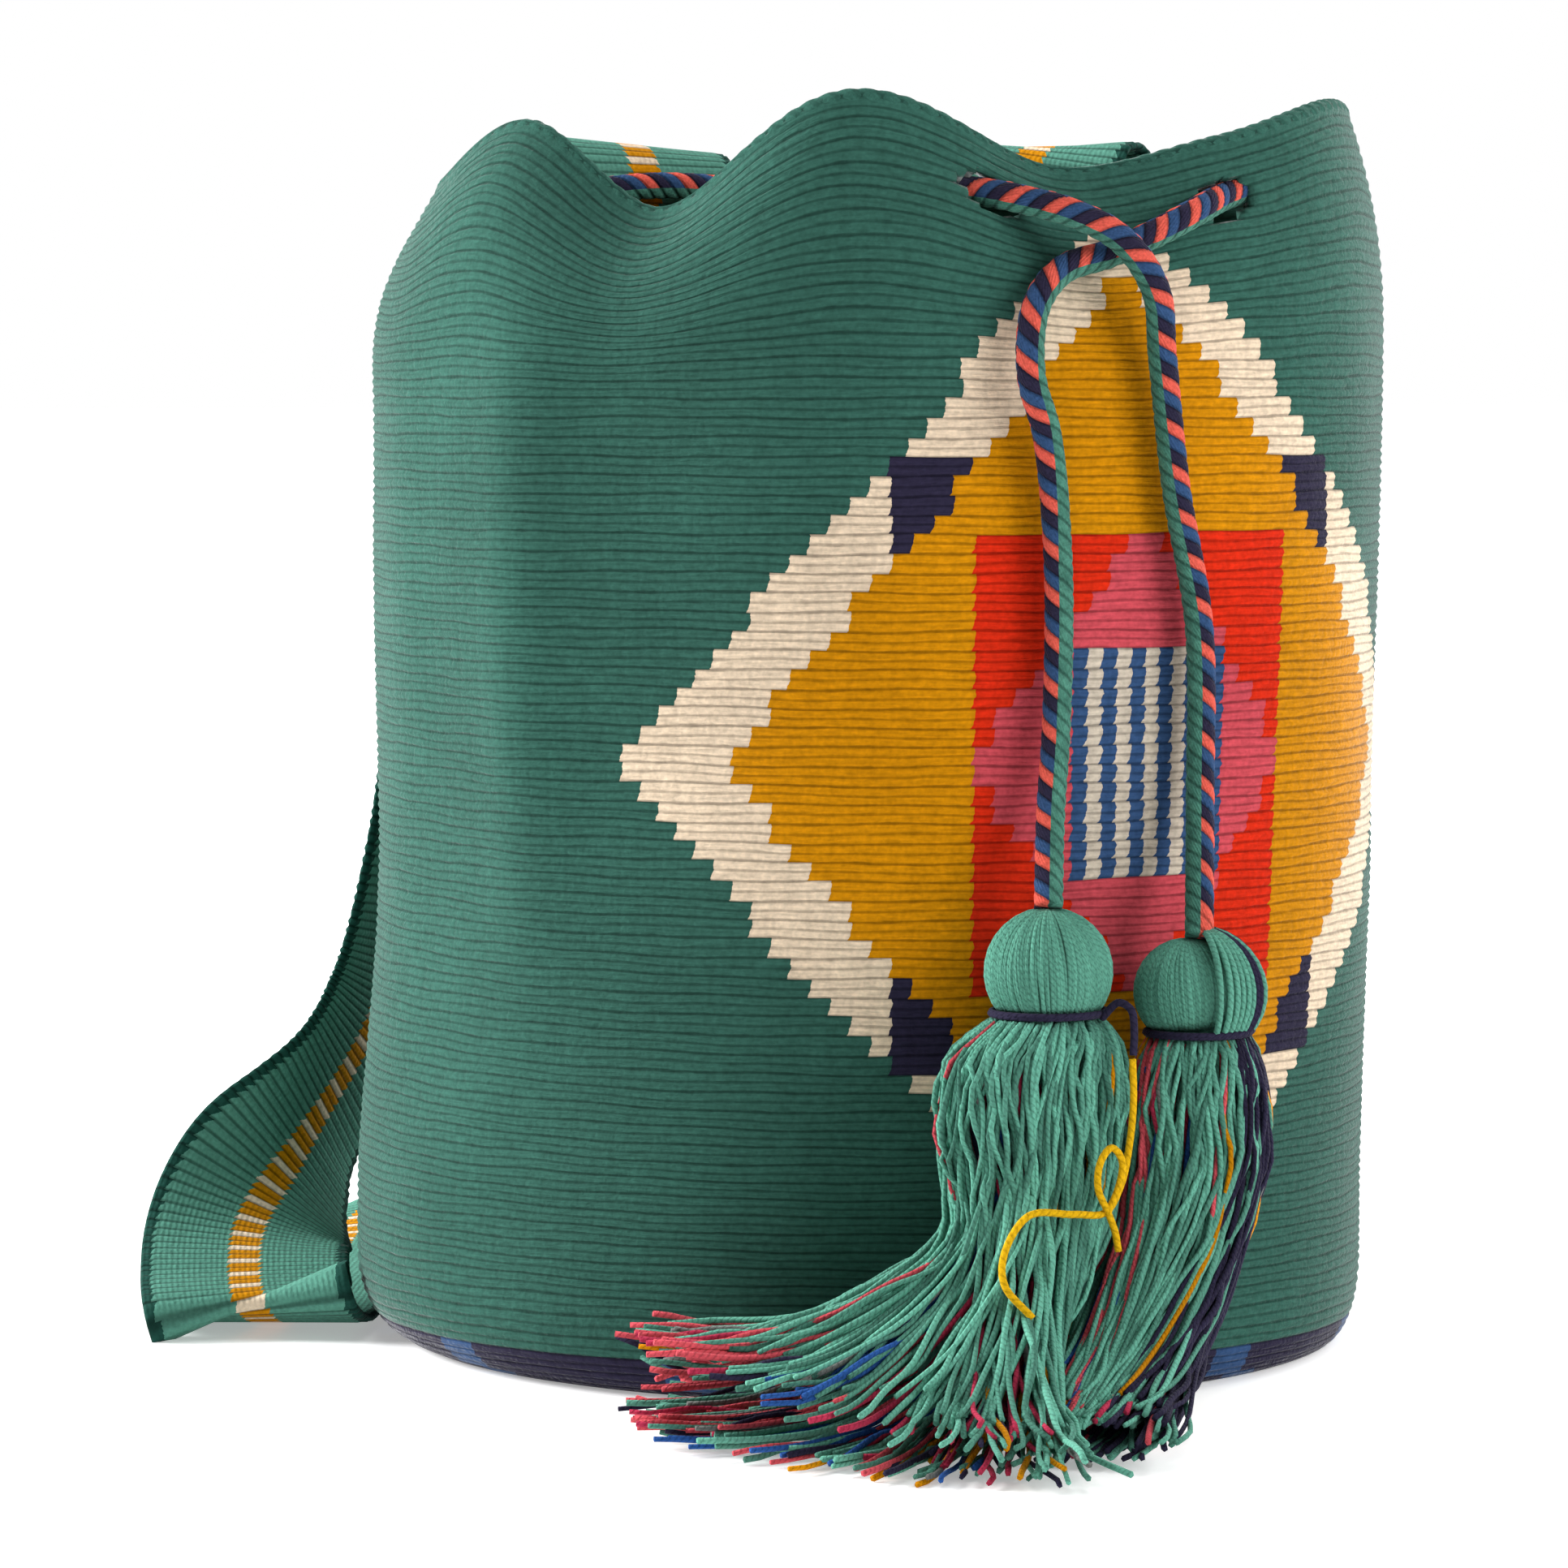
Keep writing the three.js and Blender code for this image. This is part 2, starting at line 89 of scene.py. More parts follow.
# Strap: middle of the band and the way across it, in mm, from the sewn end to the other sewn end
STRAP_ROUTE = np.array([
    (-36, 76.6, 264.2, 1, -.03, 0), (-35.3, 65.6, 272.2, 1, -.03, 0), (-35.2, 60.5, 283, 1, -.03, 0),
    (-35, 63.2, 291, 1, -.03, -.04), (-34.6, 71, 295, 1, -.03, -.08), (-34.6, 80.5, 292.5, 1, .02, -.1),
    (-36, 90, 282.5, 1, .08, -.1), (-39.5, 103, 265, .98, .18, -.1), (-46, 114.5, 243, .94, .3, -.1),
    (-58, 118.5, 212, .89, .45, -.12), (-67.5, 114.5, 165, .83, .56, -.15),
    (-76.5, 113.3, 115, .78, .62, -.15), (-89, 113.8, 72, .8, .6, -.1), (-112, 104, 43, .83, .5, 0),
    (-133, 86.4, 24, .96, .01, 0),
    (-144, 63.7, 14.5, .89, -.4, 0), (-148.5, 48.4, 9, .89, -.454, 0), (-140, 59.7, 3.4, .89, -.454, 0),
    (-114.5, 102.8, 3.4, .89, -.454, 0), (-89.2, 146.5, 3.4, .88, -.47, 0), (-67, 179, 7, .8, -.5, .2),
    (-34, 201, 21, .45, -.5, .74), (8, 204, 28.5, 0, -.2, .98), (55, 182, 30, -.4, .1, .9),
    (88, 143, 57, -.8, .5, .32), (108, 101, 115, -.72, .68, .1), (109, 83, 190, -.6, .8, 0),
    (106.5, 70.5, 238, -.57, .82, 0), (100.4, 63, 258, -.61, .79, 0), (90.2, 54.6, 274, -.66, .75, 0),
    (81, 48.6, 284, -.7, .71, 0), (76.7, 46.1, 290.6, -.7, .71, 0), (72.4, 43.5, 294.3, -.7, .71, 0),
    (67, 40.2, 294.9, -.73, .68, 0), (62.2, 37.3, 291.3, -.75, .66, 0),
    (60.8, 36.5, 283, -.75, .66, 0)], float)

# Tassels: neck, and the middle, half width and half depth of the skirt, in mm
HEAD_RADIUS, NECK_RADIUS, TIE_HEIGHT = 14.5, 12, 3.5
HEAD_STRANDS, SLACK_STRANDS = 130, 16
LEFT_NECK = np.array((-28, -140.8, 91.36))
LEFT_SKIRT = np.array([
    (-30, -141.4, 89, 17.5, 15), (-32.5, -142.2, 84, 21.5, 16), (-33.5, -142.8, 75, 22, 16),
    (-34, -143.5, 66, 22, 16), (-34.5, -144.5, 57, 20.5, 15.5), (-37, -146, 48, 19, 15.5),
    (-43, -148.5, 38, 19, 15), (-53.5, -150.5, 29.5, 25, 14), (-69, -151, 22.5, 32, 13.5),
    (-88, -147, 16, 41, 12.5), (-107, -142, 13.5, 49, 11.5), (-127, -136.5, 14.5, 57, 11)], float)
FAN_PIVOT = np.array((-40, -147, 0))
RIGHT_NECK = np.array((10, -143.2, 85.36))
RIGHT_BALL_SHIFT = np.array((-2.4, 1.2, 0))
RIGHT_SKIRT = np.array([
    (9.5, -143.8, 82.5, 14.5, 14), (8.5, -144.8, 77, 16, 15.5), (7.5, -145.8, 69, 17, 16),
    (7, -146.5, 60, 17, 16), (4, -148.2, 49, 16, 15), (-1.5, -152, 38, 15.5, 14),
    (-11, -158.7, 27, 16, 11.5), (-23, -168.2, 17, 17.5, 9), (-36, -180, 10.5, 20, 7),
    (-47, -191, 7.5, 22.5, 5.5), (-56, -200, 6, 25, 4.5)], float)

# Loose ends of thread at the left tassel, in mm
TIE_TAIL = [
    (-20.1, -151.4, 93), (-17.8, -155, 96.8), (-16.2, -158, 95.5), (-16.5, -160, 90.5), (-17.2, -160.8, 85.5)]
YELLOW_ROUTE = [
    (-17.4, -161, 84.7), (-18, -162.5, 75), (-19.5, -163.5, 66), (-22.5, -165, 57), (-26.9, -166, 51.3),
    (-36, -167.3, 51.5), (-47.5, -168, 52), (-54.7, -170, 44.3), (-56.3, -173, 37.7), (-51.4, -177, 30.6)]
YELLOW_BOW = [
    (-24.5, -167.5, 42.5), (-25.3, -167.3, 47), (-26.9, -167, 51.3), (-29.6, -167.2, 57), (-29.2, -167.7, 63),
    (-26.6, -168, 66), (-24, -168, 63), (-24.6, -167.6, 57), (-27.2, -167, 51)]
THREAD_DIAMETER = .0018

# Camera: place in metres, focal length and picture width in pixels, tilt down and heading in degrees
CAMERA_PLACE = (-.681, -1.3365, .24)
FOCAL_PIXELS, PICTURE_PIXELS, SENSOR = 7440, 1932, 36
CAMERA_TILT, CAMERA_HEADING = 3.967, -27 + .878


def colour(name, words, value):
    """A colour that a user may change, in linear light."""
    return FloatVectorProperty(
        name=name, description=words, subtype="COLOR", size=3, min=0, max=1, default=value)


def length(name, words, value, least):
    """A length that a user may change, in metres."""
    return FloatProperty(name=name, description=words, default=value, min=least, unit="LENGTH")


def whole(name, words, value, least):
    """A whole number that a user may change."""
    return IntProperty(name=name, description=words, default=value, min=least)


class BagColours(bpy.types.PropertyGroup):
    """Yarn colours."""
    teal: colour("Teal", "Main yarn of the bag", (.03, .101, .078))
    cream: colour("Cream", "Outer diamond and stripes", (.7, .56, .41))
    navy: colour("Navy", "Base, corner triangles and ties", (.022, .019, .042))
    mustard: colour("Mustard", "Middle diamond, strap stripe and tassel strands", (.53, .212, .002))
    orange: colour("Orange", "Rectangle inside the diamond", (.58, .022, .005))
    pink: colour("Pink", "Small diamond", (.5, .062, .08))
    blue: colour("Blue", "Stripes of the middle panel, motifs of the base and braid", (.03, .07, .165))
    coral: colour("Coral", "Blocks of the braid", (.66, .1, .07))
    tassel: colour("Tassel teal", "Yarn of the tassels", (.094, .285, .212))
    edge_green: colour("Edge green", "Twisted edges of the strap", (.012, .06, .046))


class BagSizes(bpy.types.PropertyGroup):
    """Sizes of the yarn work."""
    stitches: whole("Stitches", "Stitches in one round", 165, 60)
    wall_rows: whole("Wall rows", "Rounds from the rounded corner to the rim", 61, 20)
    rib_depth: length("Rib depth", "Depth of the groove between two rounds", .0005, 0)
    cord_diameter: length("Cord diameter", "Thickness of the drawstring", .0068, .002)
    strap_width: length("Strap width", "Width of the woven band", .052, .01)
    strap_thickness: length("Strap thickness", "Thickness of the woven band", .0026, .001)
    strand_diameter: length("Strand diameter", "Thickness of one tassel strand", .00145, .0005)
    tassel_strands: whole("Tassel strands", "Strands in the skirt of one tassel", 400, 20)


def sizes():
    return bpy.context.scene.bag_sizes


def colours():
    return bpy.context.scene.bag_colours


def smooth(low, high, value):
    share = np.clip((value - low) / (high - low), 0, 1)
    return share * share * (3 - 2 * share)


def cubic(share, start, end, slope_a, slope_b):
    """Places between a start and an end, with the slopes that it has there."""
    square, cube = share**2, share**3
    return ((2 * cube - 3 * square + 1) * start + (cube - 2 * square + share) * slope_a
            + (3 * square - 2 * cube) * end + (cube - square) * slope_b)


def distances(line):
    """Distance of each point of a line from its start."""
    return np.concatenate([[0], np.cumsum(np.linalg.norm(np.diff(line, axis=0), axis=1))])


# Shape of the bag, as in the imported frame

def mouth(angle, column):
    """Rise or pull of the mouth at angles in degrees, in mm."""
    count = len(MOUTH)
    rows = np.concatenate([MOUTH - (360, 0, 0), MOUTH, MOUTH + (360, 0, 0)])
    turned = np.mod(np.asarray(angle, float) - MOUTH[0, 0], 360) + MOUTH[0, 0]
    place = np.clip(np.searchsorted(rows[:, 0], turned, "right") - 1, count, 2 * count - 1)
    angles, values = rows[:, 0], rows[:, column]
    span = angles[place + 1] - angles[place]

    def slope(first, last):
        return (values[last] - values[first]) / (angles[last] - angles[first]) * span

    share = (turned - angles[place]) / span
    slopes = slope(place - 1, place + 1), slope(place, place + 2)
    return cubic(share, values[place], values[place + 1], *slopes)


def wall(angle, share):
    """Point of the bag's outer face in mm, at angles in degrees and shares of the wall's height from 0 to 1.
    Shares below 0 run down the rounded corner to the base."""
    angle, share = np.broadcast_arrays(np.asarray(angle, float), np.asarray(share, float))
    up = np.clip(share, 0, None)
    rise, drop = mouth(angle, 1), mouth(angle, 2)
    waist = smooth(.05, .3, up) * (1 - smooth(.35, .7, up))
    start = .82 - .004 * np.maximum(0, drop - 22)
    gather = np.clip((up - start) / (1 - start), 0, 1)
    sideways = 4.5 * (1 - smooth(.05, .4, up)) * np.cos(np.radians(angle + 117))
    radius = BODY_RADIUS + sideways - 2 * waist - drop * gather**2.3
    height = CORNER_HEIGHT + WALL_HEIGHT * up + rise * smooth(.5, 1, up)
    turn = np.clip(1 + share * WALL_HEIGHT / CORNER_ARC, 0, 1) * math.pi / 2
    low = share < 0
    radius = np.where(low, BASE_RADIUS + (radius - BASE_RADIUS) * np.sin(turn), radius)
    height = np.where(low, CORNER_HEIGHT * (1 - np.cos(turn)), height)
    radius = radius + creases(angle, height)
    around = np.radians(angle)
    return np.stack([radius * np.sin(around), -radius * np.cos(around), height], -1)


def creases(angle, height):
    """Soft folds of the standing cloth, in mm."""
    def fold(middle, width):
        return np.exp(-((angle - middle) / width)**2)

    def between(low, full, past, high):
        return smooth(low, full, height) * (1 - smooth(past, high, height))

    ridge = 1.3 * fold(-69, 6) - fold(-52, 12) - .6 * fold(-86, 8)
    slant = fold(-80 + (height - 45) * .25, 10) * between(12, 30, 60, 95)
    wave = .7 * np.sin(np.radians(angle * 7 + height * 1.3)) * between(30, 90, 200, 260)
    return 2.4 * ridge * between(60, 170, 225, 272) + 1.2 * slant + wave


def plain_wall(angle, share):
    """The wall without its soft folds."""
    place = wall(angle, share)
    radius = np.hypot(place[..., 0], place[..., 1])
    scale = (radius - creases(angle, place[..., 2])) / radius
    return np.stack([place[..., 0] * scale, place[..., 1] * scale, place[..., 2]], -1)


def unit(ways):
    """Directions of length one."""
    return ways / np.linalg.norm(ways, axis=-1, keepdims=True)


def outward(angle, share, face=wall):
    """Outward direction of the wall or of the wall without its folds."""
    high = np.minimum(1, share + .004)
    up = face(angle, high) - face(angle, high - .008)
    along = face(angle + .5, share) - face(angle - .5, share)
    return unit(np.cross(along, up))


def row_share(row, angle):
    """Share of the wall's height of a crochet row; the lowest rows lie higher in front than at the sides.
    The rows stay level up to the gathered part and follow the rim only from there."""
    tilt = np.cos(np.radians(angle + 27)) * (1 - smooth(2, 16, row)) * smooth(-CORNER_ROWS, -1, row)
    plain = (row - CORNER_ROWS + tilt) / sizes().wall_rows
    lift = mouth(angle, 1) / WALL_HEIGHT
    share = plain
    for _ in range(6):
        share = plain + lift * (smooth(.78, 1, plain) - smooth(.5, 1, share))
    return np.where((plain < .4) | (plain >= 1), plain, share)


def curve_line(points, step):
    """Even points along a smooth line through the given ones, with their distances from its start."""
    points = np.asarray(points, float)
    ends = [2 * points[0] - points[1], *points, 2 * points[-1] - points[-2]]
    share = np.linspace(0, 1, 24, endpoint=False)[:, None]
    found = []
    for p0, p1, p2, p3 in zip(ends, ends[1:], ends[2:], ends[3:]):
        d0, d1, d2 = (max(np.linalg.norm(b - a)**.5, 1e-6) for a, b in ((p0, p1), (p1, p2), (p2, p3)))
        m1 = ((p1 - p0) / d0 - (p2 - p0) / (d0 + d1) + (p2 - p1) / d1) * d1
        m2 = ((p2 - p1) / d1 - (p3 - p1) / (d1 + d2) + (p3 - p2) / d2) * d1
        found.append(cubic(share, p1, p2, m1, m2))
    line = np.concatenate([*found, points[-1:]])
    far = distances(line)
    count = max(4, int(round(far[-1] / step)) + 1)
    even = np.linspace(0, far[-1], count)
    return np.stack([np.interp(even, far, line[:, axis]) for axis in range(line.shape[1])], 1), even


def line_frames(line, side, along=None):
    """Direction, side and top of a line at each point, with the side carried along."""
    along = unit(np.gradient(line, axis=0) if along is None else along)
    sides = np.empty_like(line)
    side = np.asarray(side, float)
    for place, way in enumerate(along):
        side = unit(side - way * side.dot(way))
        sides[place] = side
    return along, sides, np.cross(along, sides)


def ring_places(line, side, top, turn, radius):
    """Corners of rings round a line, with a radius at each turn of each point."""
    ways = side[:, None] * np.cos(turn)[:, None] + top[:, None] * np.sin(turn)[:, None]
    return line[:, None] + ways * radius[..., None]


def draw_ends(line, rings):
    """Rings along a line, closed by its two end points."""
    start, end = (np.broadcast_to(line[place], rings[:1].shape) for place in (0, -1))
    return np.concatenate([start, rings, end])


def round_tube(line, radii, count, side=(1, 0, 0)):
    """Corners of a round tube with closed ends: rows along the line, and one column more than its sides."""
    _, sides, tops = line_frames(line, side)
    radii = np.asarray(radii, float)
    radii = np.broadcast_to(radii[:, None] if radii.ndim == 1 else radii, (len(line), count + 1))
    return draw_ends(line, ring_places(line, sides, tops, np.linspace(0, math.tau, count + 1), radii))


def tube_marks(far, count):
    """Turns round and metres along for the corners of a round tube, from distances in mm."""
    return np.stack(np.meshgrid(np.linspace(0, 1, count + 1), np.pad(far, 1, "edge") / 1000), -1)


def cut_faces(mesh, away):
    """Takes faces out of the active piece and leaves it in edit mode."""
    bpy.ops.object.mode_set(mode="EDIT")
    bpy.ops.mesh.select_mode(type="FACE")
    bpy.ops.mesh.select_all(action="DESELECT")
    bpy.ops.object.mode_set(mode="OBJECT")
    mesh.polygons.foreach_set("select", away)
    bpy.ops.object.mode_set(mode="EDIT")
    if away.any():
        bpy.ops.mesh.delete(type="FACE")


def lay_grid(name, places, marks, strips=(), shades=None):
    """A grid primitive whose corners are laid on the given places in mm. Marks become its UV map.
    Faces that would join two strips are taken away, and the seam and the closed ends are merged."""
    rows, columns = places.shape[:2]
    bpy.ops.mesh.primitive_grid_add(x_subdivisions=columns - 1, y_subdivisions=rows - 1, size=1)
    piece = bpy.context.active_object
    piece.name = piece.data.name = name
    mesh = piece.data
    if len(mesh.vertices) != rows * columns:
        raise RuntimeError(f"{name}: the grid has {len(mesh.vertices)} corners, not {rows * columns}")
    mesh.vertices.foreach_set("co", np.ascontiguousarray(places / 1000, np.float32).reshape(-1))
    corners = np.empty(len(mesh.loops), np.int32)
    mesh.loops.foreach_get("vertex_index", corners)
    chart = np.ascontiguousarray(marks.reshape(-1, 2)[corners], np.float32)
    mesh.uv_layers[0].data.foreach_set("uv", chart.reshape(-1))
    if shades is not None:
        layer = mesh.attributes.new("yarn_colour", "FLOAT_COLOR", "POINT")
        full = np.concatenate([shades.reshape(-1, 3), np.ones((rows * columns, 1))], 1)
        layer.data.foreach_set("color", np.ascontiguousarray(full, np.float32).reshape(-1))
    away = np.zeros(len(mesh.polygons), bool)
    for strip in strips:
        away[(strip - 1) * (columns - 1):strip * (columns - 1)] = True
    cut_faces(mesh, away)
    bpy.ops.mesh.select_all(action="SELECT")
    bpy.ops.mesh.remove_doubles(threshold=1e-7)
    bpy.ops.object.mode_set(mode="OBJECT")
    bpy.ops.object.shade_smooth()
    return piece


def finish_piece(piece, finish, body, slot, *nodes):
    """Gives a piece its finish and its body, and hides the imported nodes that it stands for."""
    piece.data.materials.clear()
    piece.data.materials.append(finish)
    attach(piece, body)
    if nodes:
        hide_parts(*nodes)


# Finishes

def node_sum(operation, swapped=False):
    """A method that makes one sum of a share."""
    def method(share, *others):
        values = (*others, share) if swapped else (share, *others)
        return share.finish.sum(operation, *values)

    return method


class Share:
    """A number that a finish works out at each place. A sum with it becomes a node of the finish."""

    def __init__(self, finish, socket):
        self.finish = finish
        self.socket = socket

    __add__ = node_sum("ADD")
    __sub__ = node_sum("SUBTRACT")
    __rsub__ = node_sum("SUBTRACT", True)
    __mul__ = node_sum("MULTIPLY")
    __truediv__ = node_sum("DIVIDE")
    __mod__ = node_sum("MODULO")
    __lt__ = node_sum("LESS_THAN")
    __abs__ = node_sum("ABSOLUTE")
    __floor__ = node_sum("FLOOR")


class Finish:
    """Node tree of one finish."""

    def __init__(self, name, roughness=.9, sheen=.05):
        self.material = bpy.data.materials.new(name)
        self.material.use_nodes = True
        self.tree = self.material.node_tree
        self.shader = self.tree.nodes["Principled BSDF"]
        self.fill(self.shader, {"Roughness": roughness, "Specular IOR Level": .06, "Sheen Weight": sheen,
                                "Sheen Roughness": .3})

    def fill(self, node, given):
        """Gives inputs of a node, by name or number, their values or links."""
        for name, value in given.items():
            socket = node.inputs[name]
            value = getattr(value, "socket", value)
            if isinstance(value, bpy.types.NodeSocket):
                self.tree.links.new(value, socket)
            elif socket.type == "RGBA":
                socket.default_value = (*value, 1)
            else:
                socket.default_value = value

    def node(self, kind, given=None, **settings):
        node = self.tree.nodes.new(kind)
        for name, value in settings.items():
            setattr(node, name, value)
        self.fill(node, given or {})
        return node

    def sum(self, operation, *values):
        node = self.node("ShaderNodeMath", dict(enumerate(values)), operation=operation)
        return Share(self, node.outputs[0])

    def ramp(self, value, low, high, start=0, end=1):
        given = dict(enumerate((value, low, high, start, end)))
        node = self.node("ShaderNodeMapRange", given, interpolation_type="SMOOTHSTEP")
        return Share(self, node.outputs[0])

    def mix(self, share, first, second, blend="MIX"):
        given = {0: share, 6: first, 7: second}
        return self.node("ShaderNodeMix", given, data_type="RGBA", blend_type=blend).outputs[2]

    def chart(self):
        parts = self.node("ShaderNodeSeparateXYZ", {0: self.node("ShaderNodeUVMap").outputs[0]})
        return Share(self, parts.outputs[0]), Share(self, parts.outputs[1])

    def noise(self, scale, detail, place=None):
        place = place or self.node("ShaderNodeTexCoord").outputs["Object"]
        node = self.node("ShaderNodeTexNoise", {"Vector": place, "Scale": scale, "Detail": detail})
        return Share(self, node.outputs[0])

    def edge(self, within):
        """Distance from the nearer end of a step that goes from 0 to 1."""
        return self.sum("MINIMUM", within, 1 - within)

    def tone(self, paint, *shares):
        """The paint made darker or lighter where each share goes from 0 to 1."""
        for share, low, high in shares:
            level = self.ramp(share, 0, 1, low, high)
            grey = self.node("ShaderNodeCombineColor", {0: level, 1: level, 2: level})
            paint = self.mix(1.0, paint, grey.outputs[0], "MULTIPLY")
        return paint

    def close(self, paint, height, distance, strength):
        given = {"Strength": strength, "Distance": distance, "Height": height}
        bump = self.node("ShaderNodeBump", given)
        self.fill(self.shader, {"Base Color": paint, "Normal": bump.outputs[0]})
        return self.material


def crochet_finish():
    """Tapestry crochet: rows of leaning stitches, with the nested diamond and the navy base."""
    paints = colours()
    finish = Finish("crochet_finish", .95, .3)
    across, up = finish.chart()
    fuzz = finish.noise(800, 3)
    cloud = finish.noise(26, 2)
    flat = finish.node("ShaderNodeCombineXYZ", {0: across * .8, 1: up * 6.0})
    streak = finish.noise(1, 3, flat.outputs[0])
    row = math.floor(up)
    within = up - row
    middle = within - .5
    bow = middle * middle * .3
    wander = (fuzz - .5) * .22
    pulled = finish.ramp(up, 44, 62, 0, 1.5)
    leant = (across + middle * -.22) + (bow + wander + pulled)
    stitch = math.floor(leant)
    side = abs(stitch + .5)
    above = abs(row - 31.5)

    def diamond(wide, tall):
        return side / wide + above / tall < 1

    def block(wide, tall):
        return (side < wide) * (above < tall)

    paint = paints.teal
    for field, yarn in (
            (diamond(27.3, 29.9), paints.cream), (block(12.7, 16.2), paints.navy),
            (diamond(21.5, 26.2), paints.mustard), (block(8.7, 12.2), paints.orange),
            (diamond(9.4, 12.7), paints.pink)):
        paint = finish.mix(field, paint, yarn)
    # Eleven upright stripes across nine stitches
    stripe = abs(math.floor((leant - .5) * (11 / 9) + .5))
    dull = np.array(paints.cream) * (.74, .8, .88)
    panel = finish.mix(stripe % 2 < .5, paints.blue, dull)
    paint = finish.mix((stripe < 5.5) * (above < 6.2), paint, panel)
    # Navy base with small stepped motifs in blue
    turn = (leant + 164.3) % 15 - 7.5
    step = math.floor(row * .5) * 1.6 + 3
    motif = (abs(turn + step) < 1.4) * (abs(row + 3) < 2.5)
    base = finish.mix(motif, paints.navy, paints.blue)
    paint = finish.mix(row < -.5, paint, base)
    # Painted shade between the rows, the half rows and the stitches, and the fluff of the yarn
    broken = (streak - .5) * .1
    groove = finish.ramp(finish.edge(within) + broken, .0, .13)
    ripple = finish.ramp(abs(middle) + broken, .0, .13)
    loops = finish.ramp(abs(leant - stitch - .5), .5, .2)
    paint = finish.tone(paint, (groove, .52, 1), (ripple, .64, 1), (loops, .97, 1.01), (streak, .76, 1.24),
                        (fuzz, .78, 1.22), (cloud, .86, 1.14))
    height = loops * .07 + fuzz * .6 + streak * .9 + ripple * .3 + groove * .45
    return finish.close(paint, height, .0005, .8)


def weave_finish():
    """Woven band: crosswise ribs, dark twisted edges and a middle stripe of mustard and cream blocks."""
    paints = colours()
    finish = Finish("weave_finish", .9)
    across, along = finish.chart()
    fuzz = finish.noise(900, 3)
    wander = (fuzz - .5) * .0012
    rib = along / (RIB_PITCH / 1000)
    number = math.floor(rib)
    within = rib - number
    side = abs(across + (wander + (within - .5) * .0016))
    blocks = finish.mix(number % 3 < 1.5, paints.cream, paints.mustard)
    paint = finish.mix(side < .0039, (.085, .25, .19), blocks)
    paint = finish.mix(side < .0232, paints.edge_green, paint)
    groove = finish.ramp(finish.edge(within), 0, .28)
    warp = finish.sum("SINE", across * (math.tau / .0014))
    # Painted shade in the grooves between the ribs, and the fluff of the yarn
    paint = finish.tone(paint, (groove, .45, 1), (fuzz, .74, 1.28))
    return finish.close(paint, warp * .12 + fuzz * .8 + groove * .5, .0004, .8)


def braid_finish():
    """Round braid: teal plies on one side, slanted blocks of coral, navy and blue on the other."""
    paints = colours()
    finish = Finish("braid_finish", .9)
    around, along = finish.chart()
    fuzz = finish.noise(1400, 2)
    turn = finish.sum("FRACT", around + .5) - .5
    other = .5 - abs(turn)
    place = along / (BLOCK_PITCH / 1000) - other * BLOCK_SLANT + (turn < 0) * BLOCK_SHIFT
    number = math.floor(place)
    third = number % 3
    blocks = finish.mix(third < 1.5, paints.blue, paints.navy)
    blocks = finish.mix(third < .5, blocks, paints.coral)
    teal = finish.mix(finish.noise(300, 1), paints.teal, paints.tassel)
    paint = finish.mix(abs(turn) < .2, blocks, teal)
    groove = finish.ramp(finish.edge(place - number), 0, .25)
    ply = finish.sum("SINE", (place + around * 9) * 14.0)
    # Painted shade in the grooves between the blocks, and the fluff of the yarn
    paint = finish.tone(paint, (groove, .5, 1), (fuzz, .68, 1.32))
    return finish.close(paint, ply * .2 + (groove + fuzz), .0004, .8)


def strand_finish(name, paint, diameter):
    """Twisted yarn or thread. With no paint, each strand brings its own colour."""
    finish = Finish(name, .92)
    around, along = finish.chart()
    fuzz = finish.noise(1500, 2)
    twist = finish.sum("SINE", around * (4 * math.pi) + along * (4 * math.pi / (diameter * 2.2)))
    ply = finish.ramp(twist, -1, -.2)
    if paint is None:
        paint = finish.node("ShaderNodeAttribute", attribute_name="yarn_colour").outputs["Color"]
    # Painted shade in the hollows between the plies, and the fluff of the yarn
    paint = finish.tone(paint, (ply, .80, 1.03), (fuzz, .74, 1.28))
    return finish.close(paint, ply * .5 + fuzz, .0003, .7)


# Pieces

def drawstring_line():
    """Middle line of the drawstring in mm."""
    share = 1 - EYELET_DEPTH / WALL_HEIGHT

    def threaded(rows):
        angle, offset = np.array(rows, float).T
        return plain_wall(angle, share) + outward(angle, share, plain_wall) * (offset - CLOTH / 2)[:, None]

    return np.concatenate([
        RIGHT_END, threaded(SIDE_EYELETS), STRAP_CROSSING, threaded(BACK_EYELETS), LEFT_END[::-1]])


def eyelet_places():
    """Angle and row where the drawstring passes through the middle of the cloth."""
    line, _ = curve_line(drawstring_line(), .5)
    angle = np.degrees(np.arctan2(line[:, 0], -line[:, 1]))
    shares = np.linspace(.8, 1, 101)
    grid = wall(angle[:, None], shares)
    near = np.array([np.interp(z, heights, shares) for z, heights in zip(line[:, 2], grid[..., 2])])
    over = line[:, 2] > grid[:, -1, 2]
    cloth = wall(angle, near)
    depth = np.hypot(line[:, 0], line[:, 1]) - np.hypot(cloth[:, 0], cloth[:, 1]) + CLOTH / 2
    depth[over] = -9
    within = (line[:, 2] > 250) & ~over
    cross = np.where((depth[:-1] * depth[1:] < 0) & within[:-1] & within[1:])[0]
    return [(angle[k], near[k] * sizes().wall_rows + CORNER_ROWS) for k in cross]


